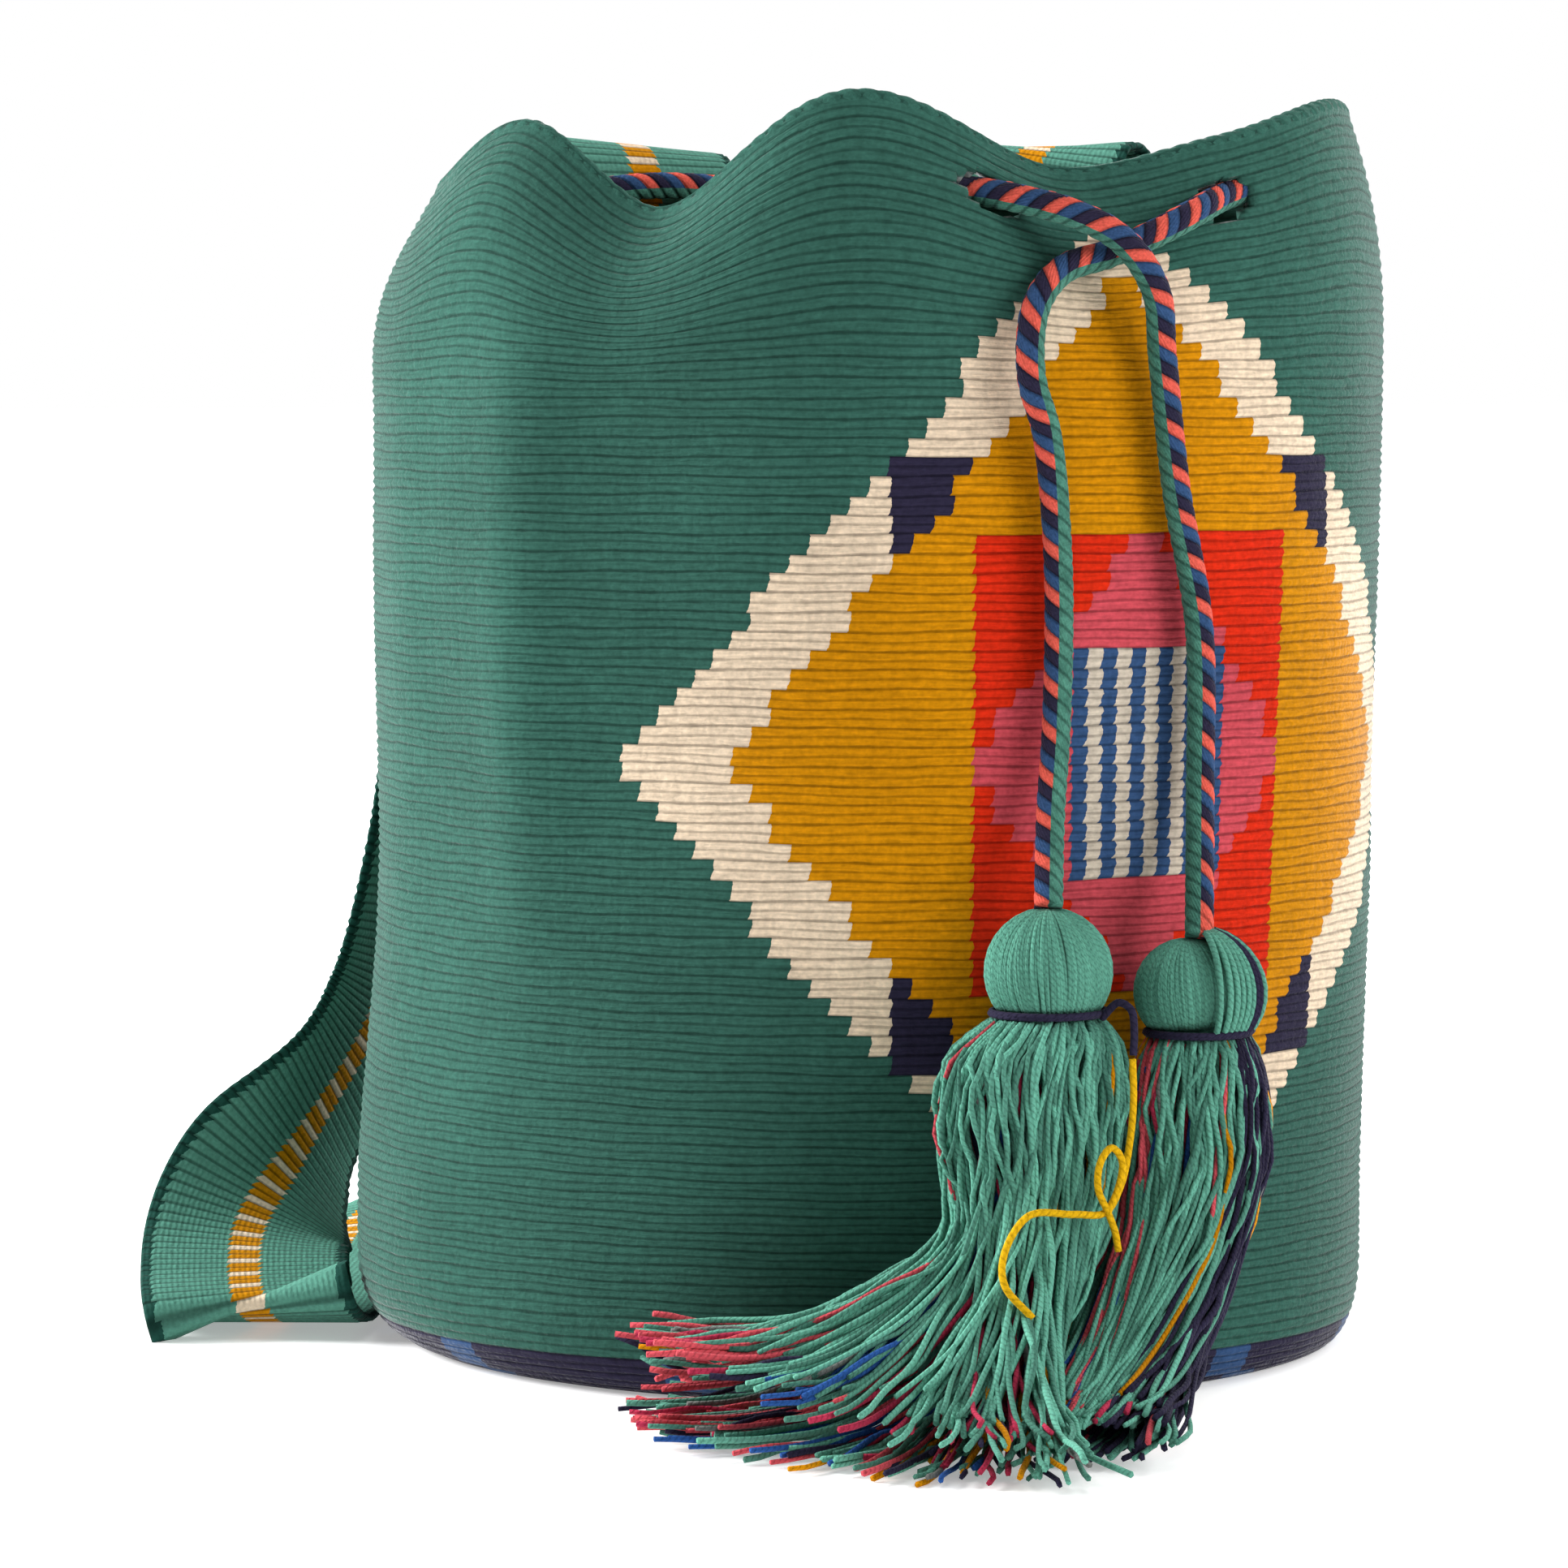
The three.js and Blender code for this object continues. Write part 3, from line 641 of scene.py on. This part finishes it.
class BAG_OT_make_body(bpy.types.Operator):
    """Crocheted base, wall and rim with open eyelets, in one piece of cloth"""
    bl_idname = "bag.make_body"
    bl_label = "Crochet body"

    def execute(self, context):
        given = sizes()
        top = given.wall_rows + CORNER_ROWS
        angle = np.linspace(-180, 180, 289) + MOTIF_ANGLE
        stitch = (angle - MOTIF_ANGLE) / 360 * given.stitches
        rows = np.arange(-CORNER_ROWS, top + .01, .25)
        turn, level = np.radians(angle), rows[:, None]
        calm = smooth(0, 3, rows) * (1 - smooth(top - 3, top, rows))
        uneven = .05 * np.sin(9 * turn + level * 1.7) + .03 * np.sin(23 * turn - level * .9)
        share = row_share(level + uneven * calm[:, None], angle)
        share[-1] = 1
        face = wall(angle, share)
        normal = outward(angle, share)
        within = rows - np.floor(rows + 1e-6)
        groove = np.where(within < .1, -1.0, np.where(np.abs(within - .5) < .1, -.75, 0.0))
        ends = smooth(-CORNER_ROWS, -2, rows) * (1 - smooth(top - .4, top, rows))
        rib = groove * given.rib_depth * 1000 * ends
        deep = 1 + .3 * np.sin(5 * turn + level * .8) * np.cos(14 * turn - level * .5)
        face = face + normal * (rib[:, None] * deep)[..., None]
        reach = np.array([0, 20, 45, 70, 90, 105])
        base = face[:1] * (reach / BASE_RADIUS)[:, None, None]
        base[..., 2] = 0
        base_rows = -CORNER_ROWS - (BASE_RADIUS - reach) / ROW_HEIGHT
        # Rounded last row, then the inner face down to the inner base
        upward = np.array((0, 0, 1.0))
        lip = [face[-1] + normal[-1] * (math.cos(t) - 1) * LIP_DEPTH + upward * math.sin(t) * LIP_HEIGHT
               for t in np.radians((30, 75, 105, 150))]
        lip_rows = top + np.array((.1, .3, .5, .7))
        inner_rows = np.concatenate([
            [top], np.arange(top - 1, top - 8, -.5), np.linspace(top - 9, 3, 12), [1, -1, -2.6]])
        inner_share = row_share(inner_rows[:, None], angle)
        inner = wall(angle, inner_share) - outward(angle, inner_share) * CLOTH
        inner[..., 2] = np.maximum(inner[..., 2], CLOTH)
        floor = inner[-1:] * np.array([.85, .6, .3, 0])[:, None, None]
        floor[..., 2] = CLOTH
        places = np.concatenate([base, face, lip, inner, floor])
        all_rows = np.concatenate([base_rows, rows, lip_rows, inner_rows, [-8, -14, -20, -26]])
        marks = np.stack(np.meshgrid(stitch, all_rows), -1)
        body = lay_grid("crochet_body", places, marks)
        self.open_eyelets(body)
        finish_piece(body, crochet_finish(), "bag", "crochet_teal", "bag_body")
        return {"FINISHED"}

    def open_eyelets(self, body):
        """Takes the cloth out where the drawstring passes, and joins the outer and the inner face there."""
        mesh = body.data
        span = sizes().stitches
        for angle, row in eyelet_places():
            stitch = (angle - MOTIF_ANGLE) / 360 * span
            chart = np.empty(len(mesh.loops) * 2, np.float32)
            mesh.uv_layers[0].data.foreach_get("uv", chart)
            starts = np.empty(len(mesh.polygons), np.int32)
            mesh.polygons.foreach_get("loop_start", starts)
            corners = np.diff(np.append(starts, len(mesh.loops)))
            middle = np.add.reduceat(chart.reshape(-1, 2), starts) / corners[:, None]
            aside = np.mod(middle[:, 0] - stitch + span / 2, span) - span / 2
            open_faces = (aside / EYELET_WIDTH)**2 + ((middle[:, 1] - row) / EYELET_HEIGHT)**2 < 1
            if open_faces.sum() < 6:
                raise RuntimeError(f"no cloth found for the eyelet at {angle:.0f} degrees")
            cut_faces(mesh, open_faces)
            bpy.ops.mesh.select_mode(type="EDGE")
            bpy.ops.mesh.select_all(action="DESELECT")
            bpy.ops.mesh.select_non_manifold(extend=False, use_wire=False, use_multi_face=False,
                                             use_non_contiguous=False, use_verts=False)
            bpy.ops.mesh.bridge_edge_loops()
            bpy.ops.object.mode_set(mode="OBJECT")
            # The edge of the hole takes the yarn of its own row
            for face in mesh.polygons[len(starts) - int(open_faces.sum()):]:
                for corner in face.loop_indices:
                    mesh.uv_layers[0].data[corner].uv = (stitch, row)


class BAG_OT_make_rim(bpy.types.Operator):
    """Twisted finishing row along the rim"""
    bl_idname = "bag.make_rim"
    bl_label = "Finishing row"

    def execute(self, context):
        count = sizes().stitches * 5
        angle = np.linspace(-180, 180, count + 1) + MOTIF_ANGLE
        normal = outward(angle, 1)
        line = wall(angle, 1) - normal * CLOTH / 2
        along = unit(np.gradient(line, axis=0))
        up = unit(np.cross(normal, along))
        turn = np.linspace(0, math.tau, 13)
        stitch = np.linspace(0, sizes().stitches, count + 1)
        reach = RIM_RADIUS + .32 * np.abs(np.sin(math.pi * stitch[:, None] + turn * .5))
        places = ring_places(line, normal, up, turn, reach)
        places[-1] = places[0]
        marks = np.stack(np.meshgrid(turn / math.tau, stitch * .0047), -1)
        rim = lay_grid("rim_row", places, marks)
        finish_piece(rim, strand_finish("rim_finish", colours().teal, .0047), "bag", "crochet_teal")
        return {"FINISHED"}


class BAG_OT_make_strap(bpy.types.Operator):
    """Ribbed woven band, folded over the rim and on the floor"""
    bl_idname = "bag.make_strap"
    bl_label = "Woven strap"

    def execute(self, context):
        given = sizes()
        path, _ = curve_line(STRAP_ROUTE, .6)
        line, across = path[:, :3], path[:, 3:]
        far = distances(line)
        along = unit(np.gradient(line, axis=0))
        across = unit(across - along * (across * along).sum(1, keepdims=True))
        top = np.cross(along, across)
        half = given.strap_width * 500
        thick = given.strap_thickness * 500
        rib = .5 - .5 * np.cos(math.tau * far / RIB_PITCH)
        twist = np.sin(math.tau * far / EDGE_PITCH)
        wide = np.concatenate([[-1, -.97, -.92, -.86], np.linspace(-.75, .75, 9), [.86, .92, .97, 1]])
        edge = np.abs(wide) > .9
        lift = np.where(edge, .8, 1.0)
        upper = line[:, None] + across[:, None] * (wide * half)[:, None]
        closed = np.where(np.abs(wide) > .99, .35, 1)
        bulge = thick * lift * (.72 + .28 * rib[:, None]) * closed + np.where(edge, .16, 0) * twist[:, None]
        face = upper + top[:, None] * bulge[..., None]
        back = upper[:, ::-1] - top[:, None] * bulge[:, ::-1, None]
        places = draw_ends(line, np.concatenate([face, back, face[:, :1]], 1))
        aside = np.concatenate([wide, wide[::-1], wide[:1]]) * half
        marks = np.stack(np.meshgrid(aside, np.pad(far, 1, "edge")), -1) / 1000
        strap = lay_grid("woven_strap", places, marks)
        finish_piece(strap, weave_finish(), "bag", "woven_teal", "strap")
        return {"FINISHED"}


class BAG_OT_make_drawstring(bpy.types.Operator):
    """Braided drawstring, threaded through the eyelets and crossed in front"""
    bl_idname = "bag.make_drawstring"
    bl_label = "Braided drawstring"

    def execute(self, context):
        given = sizes()
        line, far = curve_line(drawstring_line(), .75)
        sides = 20
        _, side, top = line_frames(line, (1, 0, 0))
        # The teal plies of the two hanging ends face each other
        spots = np.searchsorted(far, (70, 178, far[-1] - 185, far[-1] - 80))
        turns = []
        for spot, way in zip(spots, ((-.98, .12, 0), (0, .15, -1), (0, .15, -1), (.70, -.71, 0))):
            turns.append(math.atan2(top[spot].dot(way), side[spot].dot(way)) / math.tau)
        lead = np.interp(far, far[spots], np.unwrap(turns, period=1))
        turn = np.mod(np.linspace(0, 1, sides + 1) - lead[:, None] + .5, 1) - .5
        place = far[:, None] / BLOCK_PITCH - (.5 - np.abs(turn)) * BLOCK_SLANT
        place = place + np.where(turn < 0, BLOCK_SHIFT, 0)
        block = np.abs(np.sin(math.pi * place))**.6
        radius = given.cord_diameter * 500 * (.87 + .13 * block)
        marks = tube_marks(far, sides)
        marks[..., 0] -= np.pad(lead, 1, "edge")[:, None]
        cord = lay_grid("braided_drawstring", round_tube(line, radius, sides), marks)
        finish_piece(cord, braid_finish(), "bag", "braided_cord", "drawstring")
        return {"FINISHED"}


class BAG_OT_make_tassels(bpy.types.Operator):
    """Two tassels: wound heads and skirts of loose strands"""
    bl_idname = "bag.make_tassels"
    bl_label = "Tassels"

    def execute(self, context):
        finish = strand_finish("tassel_finish", None, sizes().strand_diameter)
        for name, neck, skirt, seed in (("left_tassel", LEFT_NECK, LEFT_SKIRT, 5),
                                        ("right_tassel", RIGHT_NECK, RIGHT_SKIRT, 11)):
            self.tie_tassel(name, neck, skirt, np.random.default_rng(seed), finish)
        return {"FINISHED"}

    def strand_colour(self, name, hidden, aside, right, random):
        """Colour of a strand: teal outside, mixed colours inside, in clusters across the fanned ends."""
        paints = colours()
        chance = .03 if not hidden else .8 if aside > .2 else .5
        if name == "right_tassel" and not hidden:
            chance = .85 if right > .3 else .1
        if random.random() > chance:
            return np.array(paints.tassel) * random.uniform(.55, 1.4)
        others = [(.56, .075, .095), (.40, .03, .07), paints.navy, (.02, .075, .26), paints.mustard,
                  (.16, .17, .16)]
        if name == "right_tassel":
            chances = (.03, .03, .9, 0, .02, .02) if right > .2 else (.44, .24, .08, .06, .1, .08)
        elif aside > .2:
            chances = (.72, .12, .04, .02, .02, .08)
        elif aside > -.35:
            chances = (.16, .12, .2, .4, .1, .02)
        else:
            chances = (.12, .42, .14, .06, .2, .06)
        return np.array(others[random.choice(6, p=chances)]) * random.uniform(.75, 1.15)

    def tie_tassel(self, name, neck, skirt, random, finish):
        thin = sizes().strand_diameter * 500
        head = neck + (0, 0, TIE_HEIGHT + math.sqrt(HEAD_RADIUS**2 - NECK_RADIUS**2))
        ball, ball_radius = head, HEAD_RADIUS
        if name == "right_tassel":
            ball, ball_radius = head + RIGHT_BALL_SHIFT, HEAD_RADIUS - 2.3
        bands, marks, shades, strips = [], [], [], []

        def add(line, radius, paint, count=5):
            far = distances(line)
            rows = round_tube(line, radius, count, (.3, .8, .5))
            bands.append(rows)
            marks.append(tube_marks(far, count) + (0, random.random()))
            shades.append(np.broadcast_to(np.asarray(paint, float), (len(rows), count + 1, 3)))
            strips.append(len(rows))

        # Core under the strands, so that no light shows through, coloured teal at half brightness as painted
        # shade inside the tassel
        teal = np.array(colours().tassel)
        polar = np.linspace(0, 2.3, 10)
        core = ball + np.outer(np.cos(polar) * ball_radius * .96, (0, 0, 1))
        core_radius = np.maximum(.1, np.sin(polar) * ball_radius * .95)
        core = np.concatenate([core, [neck + (0, 0, 2)], skirt[:-3, :3]])
        core_radius = np.concatenate([core_radius, [NECK_RADIUS * .9], skirt[:-3, 4] * .6])
        add(core, core_radius, teal * .5)
        # Head: fine strands from the pole to the neck
        for number in range(HEAD_STRANDS):
            around = math.tau * (number + random.uniform(-.3, .3)) / HEAD_STRANDS
            polar = np.linspace(.12, math.pi - math.asin(NECK_RADIUS / HEAD_RADIUS) + .12, 11)
            turn = around + random.uniform(.02, .14) * (polar - 1.5)
            ways = np.stack([np.sin(polar) * np.cos(turn), np.sin(polar) * np.sin(turn), np.cos(polar)], 1)
            add(ball + ways * (ball_radius - random.uniform(.35, .6)), .62, teal * random.uniform(.82, 1.12))
        # Skirt: strands from the neck over the shoulder to the fanned ends
        rings = np.concatenate([[[*neck + (0, 0, 2), NECK_RADIUS - .4, NECK_RADIUS - .4]], skirt])
        middle, wide, deep = rings[:, :3], rings[:, 3], rings[:, 4]
        along = np.gradient(middle, axis=0)
        along[:3] = (0, 0, -1)
        along, side, front = line_frames(middle, (1, 0, 0), along)
        level = np.stack([along[:, 1], -along[:, 0], np.zeros(len(along))], 1)
        steep = np.hypot(*level[:, :2].T) < .45
        level = unit(np.where(steep[:, None], side, level))
        upright = np.cross(along, level)
        share = np.linspace(0, 1, len(rings))
        for number in range(sizes().tassel_strands):
            outer = number < sizes().tassel_strands * .5
            turn = random.uniform(0, math.tau)
            out = random.uniform(.94, 1.02) if outer else math.sqrt(random.uniform(.12, .72))
            out = out + (random.uniform(.7, 1.05) - out) * smooth(.68, 1, share)
            drift = random.normal(0, .38) * share + np.cumsum(random.normal(0, .075, len(rings)))
            ray = side * np.cos(turn + drift)[:, None] + front * np.sin(turn + drift)[:, None]
            reach = 1 / np.hypot((ray * level).sum(1) / wide, (ray * upright).sum(1) / deep)
            slack = 1 + random.normal(0, .05, len(rings)) * np.minimum(1, share * 4)
            points = middle + ray * np.maximum(.5, reach * out * slack - thin)[:, None]
            aside = ray[-1].dot(level[-1])
            stop = random.uniform(.8, .95) if outer else random.uniform(.88, 1)
            if name == "left_tassel":
                points = self.fan_out(points, aside, share, random)
                if aside > .3:
                    stop += .04
                else:
                    stop -= (.09 if outer else .15) * max(0, -aside) * random.uniform(.5, 1)
            line, far = curve_line(points, 4.5)
            sway = random.uniform(.2, 1) * smooth(30, 130, far)
            sway = sway * np.sin(far / random.uniform(3, 6) + random.uniform(0, 6))
            line = line + sway[:, None] * random.normal(0, .7, 3)
            line[:, 2] = np.maximum(line[:, 2], thin)
            line = line[:max(8, int(len(line) * stop))]
            paint = self.strand_colour(name, not outer, aside, ray[3, 0], random)
            add(line, thin * random.uniform(.8, 1.1), paint)
        if name == "right_tassel":
            self.slack_strands(add, head, random)
        tassel = lay_grid(name + "_strands", np.concatenate(bands), np.concatenate(marks),
                          np.cumsum(strips)[:-1], np.concatenate(shades))
        finish_piece(tassel, finish, name, "tassel_yarn", name + "_yarn")

    def fan_out(self, points, aside, share, random):
        """Strands on the near side of the left tassel turn from the left towards the front."""
        near = min(1, max(0, (.3 - aside) / 1.1))
        turn = math.radians(40) * near + random.normal(0, .09)
        turn += random.uniform(0, .2) if aside < -.55 else 0
        turn = turn * smooth(.5, .95, share)
        out = points - FAN_PIVOT
        sink = 1 - .65 * near * smooth(.55, 1, share)
        ahead = out[:, 0] * np.cos(turn) - out[:, 1] * np.sin(turn)
        across = out[:, 0] * np.sin(turn) + out[:, 1] * np.cos(turn)
        return FAN_PIVOT + np.stack([ahead, across, out[:, 2] * sink], 1)

    def slack_strands(self, add, head, random):
        """Loose strands that stand away from the right side of the head."""
        paints = colours()
        for number in range(SLACK_STRANDS):
            lean = math.radians(-34 + 7 * number + random.uniform(-3, 3))
            polar = np.linspace(.25, 2.5, 12)
            out = HEAD_RADIUS - .4 + 1.2 * np.sin(polar) * random.uniform(.2, 1)
            turn = lean + math.radians(27)
            way = np.array((math.cos(turn), -math.sin(turn), 0))
            line = head + np.outer(np.sin(polar) * out, way)
            line = line + np.outer(np.cos(polar) * HEAD_RADIUS, (0, 0, 1))
            paint = paints.navy
            if number not in (3, 4, 5, 8, 9):
                paint = np.array(paints.tassel) * random.uniform(.8, 1.15)
            add(line, .8, paint)


class BAG_OT_make_ties(bpy.types.Operator):
    """Navy thread wound round the neck of each tassel, one with its tail left hanging in an arch"""
    bl_idname = "bag.make_ties"
    bl_label = "Tassel ties"

    def execute(self, context):
        finish = strand_finish("navy_finish", colours().navy, .0016)
        for name, neck in (("left_tassel", LEFT_NECK), ("right_tassel", RIGHT_NECK)):
            turn = np.linspace(0, math.tau * 2.2, 90)
            reach = NECK_RADIUS + (.9 if name == "left_tassel" else .1) + .25 * np.sin(turn * .7)
            line = neck + np.stack([reach * np.cos(turn), reach * np.sin(turn), 2.0 + turn / turn[-1]], 1)
            winding = [round_tube(line, .7, 7, (0, 0, 1))]
            marks = [tube_marks(turn * 11, 7)]
            strips = []
            if name == "left_tassel":
                tail, far = curve_line(TIE_TAIL, .7)
                strips.append(len(winding[0]))
                winding.append(round_tube(tail, .9, 7, (0, 0, 1)))
                marks.append(tube_marks(far, 7))
            tie = lay_grid(name + "_tie", np.concatenate(winding), np.concatenate(marks), strips)
            finish_piece(tie, finish, name, "navy_thread", name + "_binding")
        return {"FINISHED"}


class BAG_OT_make_thread(bpy.types.Operator):
    """Loose mustard thread that trails over the left tassel"""
    bl_idname = "bag.make_thread"
    bl_label = "Mustard thread"

    def execute(self, context):
        finish = strand_finish("mustard_finish", (.64, .36, .006), THREAD_DIAMETER)
        line, far = curve_line(YELLOW_ROUTE, .8)
        thread = lay_grid("mustard_thread", round_tube(line, .85, 7), tube_marks(far, 7))
        finish_piece(thread, finish, "left_tassel", "mustard_thread", "yellow_thread")
        line, far = curve_line(YELLOW_BOW, .8)
        bow = lay_grid("mustard_bow", round_tube(line, .85, 7), tube_marks(far, 7))
        finish_piece(bow, finish, "left_tassel", "mustard_thread")
        return {"FINISHED"}


class BAG_OT_set_stage(bpy.types.Operator):
    """White floor, soft lights and the camera"""
    bl_idname = "bag.set_stage"
    bl_label = "Stage"

    def execute(self, context):
        scene = context.scene
        scene.view_settings.view_transform = "Standard"
        bpy.ops.mesh.primitive_plane_add(size=60, location=(0, 0, 0))
        floor = context.active_object
        floor.name = "floor"
        cover = Finish("floor_finish", .9, 0)
        light = cover.node("ShaderNodeLightPath")
        seen = cover.sum("ADD", light.outputs["Is Camera Ray"], light.outputs["Is Glossy Ray"])
        seen = seen + light.outputs["Is Transmission Ray"]
        place = cover.node("ShaderNodeTexCoord").outputs["Object"]
        far = cover.node("ShaderNodeVectorMath", {0: place}, operation="LENGTH")
        glow = cover.ramp(far.outputs["Value"], .25, .9, .34, 1.1)
        strength = cover.sum("MAXIMUM", seen * glow, .22)
        cover.fill(cover.shader, {"Base Color": (.86, .86, .86), "Emission Color": (1, 1, 1),
                                  "Emission Strength": strength})
        floor.data.materials.append(cover.material)
        world = bpy.data.worlds.new("soft_room")
        scene.world = world
        world.use_nodes = True
        tree = world.node_tree
        room = tree.nodes["Background"]
        path = tree.nodes.new("ShaderNodeLightPath")
        level = tree.nodes.new("ShaderNodeMapRange")
        tree.links.new(path.outputs["Is Camera Ray"], level.inputs[0])
        level.inputs[3].default_value = .18
        level.inputs[4].default_value = 1.0
        tree.links.new(level.outputs[0], room.inputs["Strength"])
        room.inputs["Color"].default_value = (1, 1, 1, 1)
        for name, place, aim, size, power in (
                ("left_light", (-1.77, 1.35, 1.1), (0, 0, .15), 1.2, 124),
                ("right_light", (1.88, .68, 1.0), (0, 0, .15), 1.2, 46),
                ("top_light", (-.1, -.1, 2.2), (0, 0, .1), 1.6, 18),
                ("front_light", (1.05, -2.0, 1.0), (0, 0, .12), 1.4, 36)):
            bpy.ops.object.light_add(type="AREA", location=place)
            lamp = context.active_object
            lamp.name = name
            lamp.data.shape = "DISK"
            lamp.data.size = size
            lamp.data.energy = power
            lamp.rotation_euler = (Vector(aim) - Vector(place)).to_track_quat("-Z", "Y").to_euler()
        bpy.ops.object.camera_add(location=CAMERA_PLACE)
        camera = context.active_object
        camera.name = "photo_camera"
        camera.data.sensor_width = SENSOR
        camera.data.lens = FOCAL_PIXELS / PICTURE_PIXELS * SENSOR
        camera.data.clip_end = 200
        camera.rotation_euler = (math.radians(90 - CAMERA_TILT), 0, math.radians(CAMERA_HEADING))
        scene.camera = camera
        return {"FINISHED"}


class BAG_PT_pieces(bpy.types.Panel):
    """Pieces, sizes and colours of the bag"""
    bl_idname = "BAG_PT_pieces"
    bl_label = "Bucket bag"
    bl_space_type = "VIEW_3D"
    bl_region_type = "UI"
    bl_category = "Bag"

    def draw(self, context):
        for operator in MAKERS:
            self.layout.operator(operator.bl_idname)
        for group in (context.scene.bag_sizes, context.scene.bag_colours):
            for name in group.__annotations__:
                self.layout.prop(group, name)


MAKERS = (BAG_OT_set_stage, BAG_OT_make_drawstring, BAG_OT_make_body, BAG_OT_make_rim, BAG_OT_make_strap,
          BAG_OT_make_tassels, BAG_OT_make_ties, BAG_OT_make_thread)
CLASSES = (BagColours, BagSizes, *MAKERS, BAG_PT_pieces)


def register():
    for kind in CLASSES:
        bpy.utils.register_class(kind)
    bpy.types.Scene.bag_colours = PointerProperty(type=BagColours)
    bpy.types.Scene.bag_sizes = PointerProperty(type=BagSizes)


def unregister():
    del bpy.types.Scene.bag_sizes
    del bpy.types.Scene.bag_colours
    for kind in reversed(CLASSES):
        bpy.utils.unregister_class(kind)


def main():
    register()
    bpy.ops.bag.set_stage()
    bpy.ops.bag.make_drawstring()
    bpy.ops.bag.make_body()
    bpy.ops.bag.make_rim()
    bpy.ops.bag.make_strap()
    bpy.ops.bag.make_tassels()
    bpy.ops.bag.make_ties()
    bpy.ops.bag.make_thread()
    bpy.context.view_layer.update()


if __name__ == "__main__":
    main()
